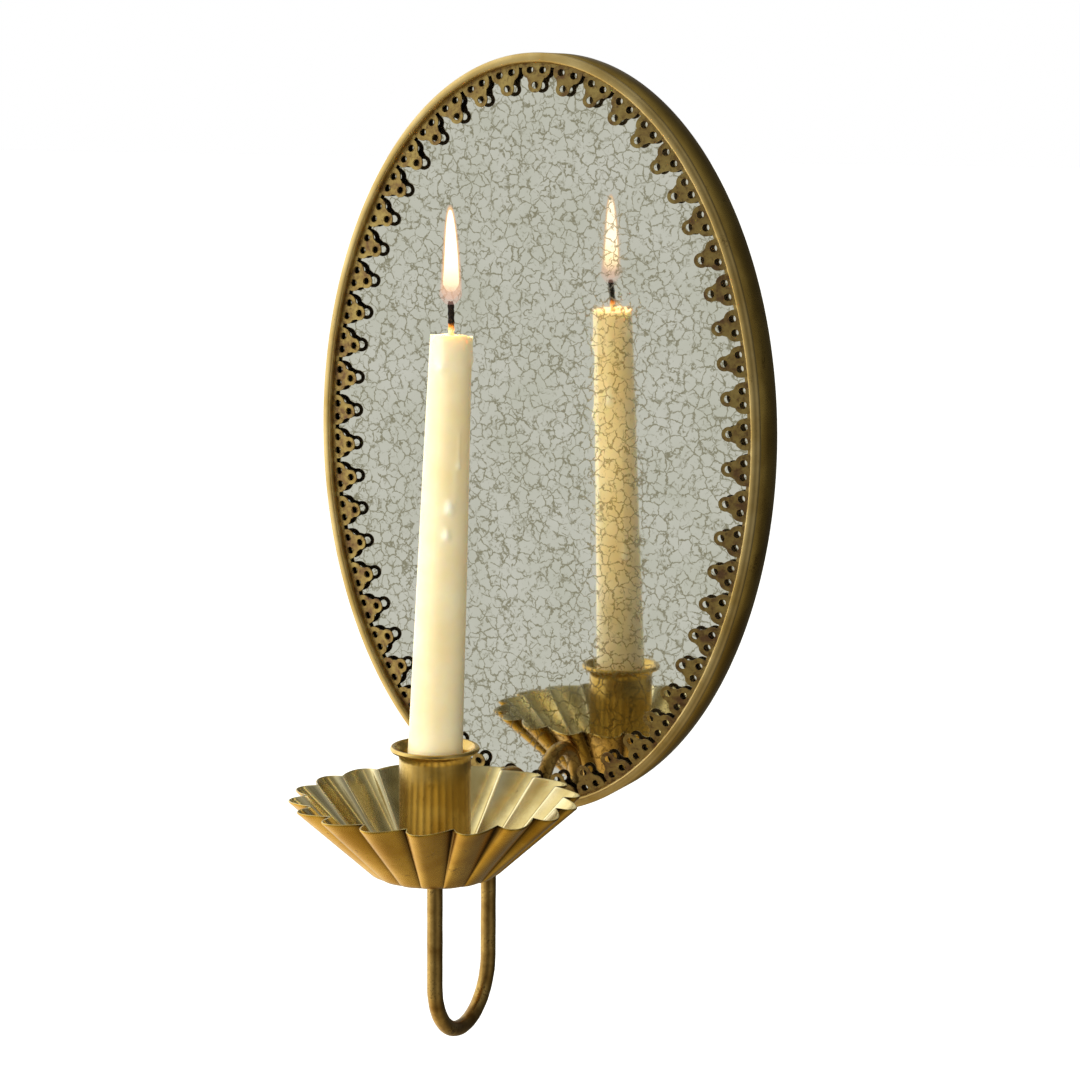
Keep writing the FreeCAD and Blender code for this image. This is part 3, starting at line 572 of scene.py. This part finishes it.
def pleated_tray():
    """A sheet pan with flutes. Its middle surface is a function of the place along a profile, from
    the screw's hole across the floor, round the corner and up the wall, and of the azimuth. It is
    the profile's radius less the crease's depth there times one minus the lobe, and a little
    higher. Both faces stand half the sheet's thickness off the middle surface along its normal, and
    a half-round edge joins them."""
    half = TRAY_T / 2
    rim_r, rim_h = tray_high[0], tray_high[2] - tray_low[2]
    slope = math.atan2(rim_h - TRAY_CORNER_H, rim_r - TRAY_CORNER_R)
    corner_r = TRAY_CORNER_H / (1 - math.cos(slope))
    corner = (TRAY_CORNER_R - corner_r * math.sin(slope), corner_r)
    end = np.array([rim_r, rim_h]) - half * np.array([math.cos(slope) + math.sin(slope), 0])
    end[1] += half * (math.cos(slope) - math.sin(slope))
    bend = arc(corner, corner_r - half, -90, math.degrees(slope) - 90, 12)
    floor_line = np.stack([np.linspace(SCREW_R, bend[0, 0], 8)[:-1], np.full(7, half)], axis=-1)
    wall_line = bend[-1] + (end - bend[-1]) * np.linspace(0, 1, 44)[1:, None]
    radius, height = np.vstack([floor_line, bend, wall_line]).T[..., None]
    steps = FLUTES * STEPS_PER_FLUTE
    azimuth = FIRST_CREASE + np.arange(steps) / steps * TAU
    crease_start = 19 * MM
    growth = np.clip((radius - crease_start) / (rim_r - crease_start), 0, 1) ** 1.1
    tuck = growth * (1 - lobe(azimuth))
    level = radius - TRAY_CREASE_DEPTH * tuck
    lifted = height + TRAY_CREASE_RISE * tuck * growth
    middle = np.stack([level * np.sin(azimuth), -level * np.cos(azimuth), lifted], axis=-1)
    along = np.gradient(middle, axis=0)
    padded = np.concatenate([middle[:, -1:], middle, middle[:, :1]], axis=1)
    around = (padded[:, 2:] - padded[:, :-2]) / 2
    normal = np.cross(around, along)
    normal /= np.linalg.norm(normal, axis=-1, keepdims=True)
    up = along[-1] / np.linalg.norm(along[-1], axis=-1, keepdims=True)
    angle = np.linspace(0, math.pi, 7)[1:-1, None, None]
    edge = middle[-1] + half * (normal[-1] * np.cos(angle) + up * np.sin(angle))
    rings = np.concatenate([middle + half * normal, edge, (middle - half * normal)[::-1]])
    rings += [0, candle_y, tray_low[2]]
    points, faces = skin(rings, wrap_rows=True)
    piece = new_piece("pleated_tray", points, faces, "arm", "tray_brass", ["drip_tray"],
                      tray_outside, tray_inside)
    outside_first = normal[-1, 0, 2] < 0
    rows = np.arange(len(faces)) // len(azimuth)
    past_edge = rows >= len(middle) + 2
    piece.data.polygons.foreach_set("material_index", (past_edge == outside_first).astype(int))
    # Where the tray's colour gets painted shade outside and painted highlight inside, strongest at the
    # creases.
    across = ((azimuth - FIRST_CREASE) / TAU * FLUTES) % 1
    steep_side, slow_side = 0.05, 0.17
    shade = np.exp(-(across / steep_side) ** 2) + np.exp(-((1 - across) / slow_side) ** 2)
    crease = growth**0.5 * np.minimum(shade, 1)
    on_edge = np.repeat(crease[-1:], len(edge), axis=0)
    keep_value(piece, "crease", np.concatenate([crease, on_edge, crease[::-1]]))


def rolled_cup():
    """A tube with a floor, turned out at its mouth and rolled into a round rim."""
    height = cup_high[2] - cup_low[2]
    lip_r = cup_high[0]
    outer_r = lip_r - CUP_FLARE
    bore = outer_r - CUP_T
    roll = (lip_r - CUP_ROLL_R, height - CUP_ROLL_R)
    fillet = 1.2 * MM
    flare_h = 5.4 * MM
    below = roll[1] - flare_h
    outer_flare = rounded_line([(outer_r, below), (outer_r + 0.12 * MM, below + 1.9 * MM),
                                (outer_r + 0.6 * MM, below + 3.4 * MM),
                                (outer_r + 1.4 * MM, below + 4.5 * MM)], 5)
    rolled = arc(roll, CUP_ROLL_R, -140, 168, 26)
    inner_flare = rounded_line([(bore + 1.6 * MM, roll[1] - 0.45 * MM), (bore + 0.6 * MM, roll[1] - 1.9 * MM),
                                (bore + 0.12 * MM, roll[1] - 3.5 * MM), (bore, below)], 5)
    foot = arc((outer_r - fillet, fillet), fillet, -90, 0, 7)
    well = arc((bore - fillet, CUP_T + fillet), fillet, 0, -90, 7)
    tube = np.linspace(fillet, below, 14)[1:-1]
    wall = np.stack([0 * tube + outer_r, tube], axis=-1)
    inner_wall = np.stack([0 * tube + bore, tube[::-1] + CUP_T], axis=-1)
    profile = np.vstack([[(SCREW_R, 0)], foot, wall, outer_flare, rolled, inner_flare, inner_wall, well,
                         [(SCREW_R, CUP_T)]])
    points, faces = skin(turned(profile, (0, candle_y, cup_low[2]), CUP_SIDES), wrap_rows=True)
    new_piece("rolled_cup", points, faces, "arm", "cup_brass", ["candle_cup"], cup_brass)


# --- Candle -----------------------------------------------------------------------------------

lift = next(j for j in frame["joints"] if j["name"] == "candle_lift")
candle_axis = np.array(lift["axis"], float)
candle_axis /= np.linalg.norm(candle_axis)
wick_middle = (wick_low + wick_high) / 2
candle_foot = wick_middle - candle_axis * (CANDLE_LEN + (WICK_LEN - WICK_SUNK) / 2)
candle_right = np.array([1.0, 0, 0])
candle_back = np.cross(candle_axis, candle_right)


def on_candle(height, radius, azimuth):
    """Points on the leaning candle, from the height up its axis, the radius and the azimuth."""
    around = np.sin(azimuth)[..., None] * candle_right - np.cos(azimuth)[..., None] * candle_back
    return candle_foot + np.asarray(height)[..., None] * candle_axis + np.asarray(radius)[..., None] * around


# Wax that ran down and set: azimuth in degrees, then in millimetres the height that the run starts
# from and ends at, its half-width, its thickness, and the half-width, half-length and thickness of
# the drop at its end.
WAX_RUNS = [
    (3, 204, 191, 2.6, 0.35, 2.3, 2.4, 0.55),
    (58, 167, 154, 0.8, 0.22, 1.1, 1.7, 0.50),
    (52, 156, 140, 1.3, 0.12, 0.6, 0.8, 0.10),
    (39, 141, 137, 1.4, 0.30, 1.9, 3.0, 0.95),
    (34, 130, 127, 1.0, 0.25, 1.6, 2.4, 0.85),
    (106, 204, 194, 2.0, 0.35, 1.8, 2.5, 0.50),
    (-115, 204, 188, 1.6, 0.45, 1.9, 3.0, 0.90),
    (-118, 178, 157, 1.0, 0.30, 1.9, 3.2, 1.15),
    (-150, 204, 120, 1.3, 0.30, 1.6, 3.5, 0.70),
    (172, 204, 165, 1.6, 0.35, 1.9, 3.4, 0.90),
    (140, 150, 96, 1.0, 0.22, 1.4, 3.0, 0.60),
]


def tapered_wax():
    """A taper as a function of height and azimuth: a radius that falls evenly from the cup to the
    top, with a slow unevenness and the sum of the runs. A run is a bell curve across, held between
    its two heights, and its drop is a bell curve both ways. The lip stands a little uneven round a
    shallow pool of set wax."""
    azimuth = np.arange(CANDLE_SIDES) / CANDLE_SIDES * TAU
    shelf = CANDLE_LEN - 1.0 * MM
    height = np.concatenate([[0, 0.5 * MM, 1.0 * MM], np.linspace(3 * MM, CANDLE_END_H, 8),
                             np.linspace(CANDLE_END_H, shelf, 272)[1:]])[:, None]
    profile_h = [0, 1 * MM, CANDLE_END_H, CANDLE_LEN]
    radius = np.interp(height, profile_h, [CANDLE_END_R - 1 * MM, CANDLE_END_R, CANDLE_BASE_R, CANDLE_TOP_R])
    uneven = np.sin(2 * azimuth + 31 * height) + 0.7 * np.sin(3 * azimuth - 52 * height + 1)
    above_cup = smooth_step((height - 60 * MM) / (30 * MM))
    radius = radius + above_cup * 0.06 * MM * uneven
    drop = 0 * radius
    for facing, start, end, width, thick, drop_w, drop_l, drop_t in WAX_RUNS:
        away = np.abs((azimuth - math.radians(facing) + math.pi) % TAU - math.pi) * radius / MM
        low = height / MM - end
        held = smooth_step(low / 2 + 0.5) * smooth_step((start - end - low) / 3 + 0.5)
        run = thick * np.exp(-(away / width) ** 2) * held
        bead = np.exp(-(away / drop_w) ** 2 - (low / np.where(low < 0, 0.6 * drop_l, 1.3 * drop_l)) ** 2)
        radius = radius + (run + drop_t * bead) * MM
        drop = np.maximum(drop, bead * drop_t + 0.5 * run)
    lip_wave = (0.45 * np.sin(2 * azimuth + 0.4) + 0.35 * np.sin(5 * azimuth + 2)) * MM - 0.6 * MM
    notch = -1.1 * MM * np.exp(-((azimuth - math.radians(322)) / 0.16) ** 2)
    lip_rise = lip_wave + notch + 0.5 * MM
    lip = [on_candle(shelf + lip_rise * share, radius[-1] - inset * MM, azimuth)
           for share, inset in ((0.6, 0.12), (1.0, 0.5), (1.05, 1.0))]
    flat = 0 * azimuth
    pool_edge = on_candle(shelf - 0.2 * MM + flat, CANDLE_MELT_R + flat, azimuth)
    pool_level = CANDLE_LEN - CANDLE_MELT_H + flat
    pool = [on_candle(pool_level, r * MM + flat, azimuth) for r in (5.2, 3.4, 1.6)]
    side = on_candle(height + flat, radius, azimuth + 0 * height)
    points, faces = skin(np.concatenate([side, lip, [pool_edge], pool]), cap_ends=True)
    piece = new_piece("tapered_wax", points, faces, "candle", "wax", ["candle_wax"], ivory_wax())
    rest = np.zeros(len(points) - drop.size)
    keep_value(piece, "drop", np.concatenate([np.clip(drop.ravel(), 0, 1), rest]))


def braided_wick():
    """A braided cord that stands in the pool and curls a little: the radius carries two crossing
    spirals, and the middle line shifts as the square of the height."""
    rise = np.linspace(0, 1, 46)[:, None]
    azimuth = np.arange(WICK_SIDES) / WICK_SIDES * TAU
    height = CANDLE_LEN - WICK_SUNK * 0.5 + rise * (WICK_LEN + WICK_SUNK * 0.5)
    braid = 0.07 * np.sin(2 * azimuth + 34 * rise) + 0.07 * np.sin(-2 * azimuth + 34 * rise)
    round_end = 0.25 * smooth_step((rise - 0.93) / 0.07)
    radius = WICK_R * (0.78 + 0.16 * smooth_step(rise * 1.6) + braid - round_end)
    rings = on_candle(height + 0 * azimuth, radius, azimuth + 0 * rise)
    curl = 0.8 * MM
    rings[..., 0] -= curl * rise**2
    points, faces = skin(rings, cap_ends=True)
    piece = new_piece("braided_wick", points, faces, "candle", "wick_cotton", ["candle_wick"], burnt_cotton())
    above = (rise - 0.25) / 0.75 + 0 * azimuth
    keep_value(piece, "rise", np.concatenate([above.ravel(), [0, 1]]))


def tall_flame():
    """Three teardrop shells, one inside another: at the height u, from 0 at the foot to 1 at the
    tip, the radius goes as (1 - u)^0.42, and closes round the wick's tip below. The flame stands
    upright on the leaning wick."""
    flame_h, widest = 36.5 * MM, 4.5 * MM
    tip_z = wick_high[2] + flame_h
    zero = np.array(0.0)
    foot = on_candle(np.array(CANDLE_LEN + WICK_LEN), zero, zero) - [0.9 * MM, 0, 1.2 * MM]
    azimuth = np.arange(FLAME_SIDES) / FLAME_SIDES * TAU
    u = np.sin(np.linspace(0, math.pi / 2, 57)[:-1, None]) ** 1.3
    shells, rises = [], []
    for size, start, reach in ((1.0, 0.0, 1.0), (0.86, 0.05, 0.98), (0.70, 0.13, 0.95)):
        level = start + (reach - start) * u
        radius = widest * size * (1 - u) ** 0.42 * np.clip(u / 0.10 + 0.12, 0, 1) ** 0.5
        sway = 0.3 * MM * np.sin(4 * level)
        x = foot[0] + radius * np.sin(azimuth) + sway
        y = foot[1] - radius * np.cos(azimuth) + 0 * sway
        z = foot[2] + (tip_z - foot[2]) * level + 0 * azimuth
        shells.append(skin(np.stack([x, y, z], axis=-1), cap_ends=True))
        rises.append(np.concatenate([(level + 0 * azimuth).ravel(), [start, reach]]))
    offsets = np.cumsum([0] + [len(points) for points, _ in shells])
    faces = [[i + offset for i in face] for (_, own), offset in zip(shells, offsets) for face in own]
    piece = new_piece(
        "candle_flame", np.vstack([points for points, _ in shells]), faces, "candle", None, [],
        flame_layer("flame edge", [(0.0, "#FFC8B8"), (0.3, "#FFC096"), (1.0, "#FFB27C")], 1.0,
                    [(0.0, 0.16), (0.25, 0.16), (0.9, 0.20), (1.0, 0.15)]),
        flame_layer("flame body", [(0.05, "#FFC4A4"), (0.3, "#FFD08C"), (1.0, "#FFDCA0")], 1.1,
                    [(0.05, 0.14), (0.2, 0.24), (0.4, 0.46), (1.0, 0.50)]),
        flame_layer("flame core", [(0.1, "#FFDDB4"), (0.30, "#FFF2CC"), (0.5, "#FFFDF4")], 2.6,
                    [(0.12, 0.05), (0.22, 0.30), (0.42, 0.92), (1.0, 0.90)]),
    )
    keep_value(piece, "rise", np.concatenate(rises))
    counts = [len(own) for _, own in shells]
    piece.data.polygons.foreach_set("material_index", np.repeat([0, 1, 2], counts))
    data = bpy.data.lights.new("flame light", "POINT")
    data.energy = 0.22
    data.color = colour("#FFC58A")[:3]
    data.shadow_soft_size = 5 * MM
    lamp = bpy.data.objects.new("flame light", data)
    lamp.location = foot + [0, 0, 14 * MM]
    lamp.visible_glossy = False
    lamp.parent = piece
    bpy.context.scene.collection.objects.link(lamp)


# --- Finishes of the CAD nodes that stay ------------------------------------------------------

def dress(material, *nodes):
    """Gives a material to CAD nodes, whose meshes stay as they are."""
    for node in nodes:
        mesh = frame["nodes"][node].data
        mesh.materials.clear()
        mesh.materials.append(material)


rubber = matt_solid("moulded rubber", "#141414", "#242322", 0.6, 0.75, 0.05)
dress(gallery_brass, "gallery")
dress(antiqued_mirror(), "mirror_glass")
dress(rubber, "mirror_gasket", "bumper_left", "bumper_right")
dress(matt_solid("grey-brown card", "#7A684E", "#97835F", 0.8, 0.85, 0.08), "packing_card")
dress(matt_solid("pressed hardboard", "#3A2414", "#5A3B22", 1.2, 0.7, 0.1), "back_board")
dress(strap_brass, "hanger_strap", "strap_rivets", "socket_bracket", "arm_socket")
dress(strap_brass, *[n for n in frame["nodes"] if n.startswith(("retaining_clip", "cleat"))])
dress(fixing_brass, "thrust_washer", "lower_washer", "acorn_nut")
dress(rod_brass, "tray_collar")
dress(plated_steel(), "cup_washer", "cup_screw")


# --- Floor, light and camera ------------------------------------------------------------------

def floor():
    """A wide pale floor below the object. It only shows to the camera, so that the brass mirrors
    the studio and not an endless plane."""
    size, drop = 30.0, 0.35
    z = cad_box[0][2] - drop
    mesh = bpy.data.meshes.new("floor")
    corners = [(-size, -size, z), (size, -size, z), (size, size, z), (-size, size, z)]
    mesh.from_pydata(corners, [], [(0, 1, 2, 3)])
    piece = bpy.data.objects.new("floor", mesh)
    bpy.context.scene.collection.objects.link(piece)
    material, tree, _ = start_material("pale floor")
    white = colour("#F6F6F4")
    values = {"Base Color": white, "Roughness": 0.9, "Emission Color": white, "Emission Strength": 0.75}
    add(tree, "ShaderNodeOutputMaterial", Surface=add(tree, "ShaderNodeBsdfPrincipled", values))
    mesh.materials.append(material)
    piece.visible_glossy = False
    piece.visible_diffuse = False


def area_light(name, place, target, size, watts, tint):
    """A square soft light that faces a target."""
    data = bpy.data.lights.new(name, "AREA")
    data.size = size
    data.energy = watts
    data.color = colour(tint)[:3]
    lamp = bpy.data.objects.new(name, data)
    lamp.location = place
    lamp.rotation_euler = (Vector(target) - Vector(place)).to_track_quat("-Z", "Y").to_euler()
    lamp.visible_camera = False
    bpy.context.scene.collection.objects.link(lamp)
    return lamp


# Brightness of the room by azimuth in degrees: bright walls at the left, an even front that the
# mirror shows, a dim front right, a lighter patch at the right and a dark corner at the back right.
ROOM = [(-180, 0.12), (-155, 0.30), (-128, 1.90), (-100, 1.80), (-65, 1.90), (-50, 1.45),
        (-40, 0.95), (-34, 0.74), (-17, 0.72), (-3, 0.48), (15, 0.22), (32, 0.16),
        (50, 0.30), (66, 0.44), (84, 0.34), (110, 0.13), (150, 0.06), (180, 0.12)]


def studio():
    """The room that the metal mirrors. Its brightness is a curve of the azimuth, and goes over to
    a plain ceiling and a warm table as the fifth power of the height. The camera itself sees white."""
    world = bpy.data.worlds.new("studio")
    world.use_nodes = True
    tree = world.node_tree
    tree.nodes.clear()
    way = add(tree, "ShaderNodeTexCoord").outputs["Generated"]
    parts = add(tree, "ShaderNodeSeparateXYZ", Vector=way).outputs
    front = add(tree, "ShaderNodeMath", {"operation": "MULTIPLY", 1: -1.0}, i0=parts["Y"])
    azimuth = add(tree, "ShaderNodeMath", {"operation": "ARCTAN2"}, i0=parts["X"], i1=front)
    turn = add(tree, "ShaderNodeMath", {"operation": "MULTIPLY_ADD", 1: 1 / TAU, 2: 0.5}, i0=azimuth)
    walls = add(tree, "ShaderNodeValToRGB", stops=[(0.5 + a / 360, level / 2) for a, level in ROOM], Fac=turn)
    caps = add(tree, "ShaderNodeMapRange", {1: -0.4, 2: 0.4, 3: 0.29, 4: 0.26}, i0=parts["Z"])
    steep = add(tree, "ShaderNodeMath", {"operation": "ABSOLUTE"}, i0=parts["Z"])
    share = add(tree, "ShaderNodeMath", {"operation": "POWER", 1: 5.0}, i0=steep)
    level = add(tree, "ShaderNodeMix", {"data_type": "FLOAT"}, i0=share, i2=walls, i3=caps)
    bright = add(tree, "ShaderNodeMath", {"operation": "MULTIPLY", 1: 2.0}, i0=level)
    below = add(tree, "ShaderNodeMapRange", {1: -0.25, 2: -0.7}, i0=parts["Z"])
    tints = {"data_type": "RGBA", 6: colour("#F0F0E8"), 7: colour("#F2E4C2")}
    tint = add(tree, "ShaderNodeMix", tints, i0=below)
    room = add(tree, "ShaderNodeBackground", Color=tint.outputs[2], Strength=bright)
    plain = add(tree, "ShaderNodeBackground", {"Color": colour("#FFFFFF"), "Strength": 1.0})
    seen = add(tree, "ShaderNodeLightPath").outputs["Is Camera Ray"]
    add(tree, "ShaderNodeOutputWorld", Surface=add(tree, "ShaderNodeMixShader", i0=seen, i1=room, i2=plain))
    bpy.context.scene.world = world
    bpy.context.scene.view_settings.view_transform = "Standard"
    middle = (0, candle_y, oval_z)
    window = area_light("window", (-1.35, -0.75, 0.7), middle, 0.6, 21.0, "#FFFDF8")
    window.visible_glossy = False
    fill = area_light("fill", (0.45, -1.7, 0.1), middle, 1.0, 19.0, "#FFF5D6")
    fill.visible_glossy = False
    # What the mirror throws back on the candle. It has no highlight of its own.
    thrown = area_light("mirror light", (0, mirror_y - 1 * MM, oval_z), (0, -1, oval_z),
                        1.5 * oval_a, 0.10, "#FFE4B0")
    thrown.visible_glossy = False


def camera():
    """Looks at the oval from the right and a little above."""
    yaw, pitch, roll = math.radians(25.33), math.radians(9.0), math.radians(0.39)
    data = bpy.data.cameras.new("camera")
    data.sensor_width = 36.0
    data.lens = 92.42
    eye = bpy.data.objects.new("camera", data)
    bpy.context.scene.collection.objects.link(eye)
    place = Vector((0.4849, mirror_y - 1.0201, oval_z + 0.1368))
    turn = Matrix.Rotation(yaw, 4, "Z") @ Matrix.Rotation(math.pi / 2 - pitch, 4, "X")
    eye.matrix_world = Matrix.Translation(place) @ turn @ Matrix.Rotation(roll, 4, "Z")
    bpy.context.scene.camera = eye


oval_band()
front_bead()
hole_rims()
bent_rod()
pleated_tray()
rolled_cup()
tapered_wax()
braided_wick()
tall_flame()
floor()
studio()
camera()
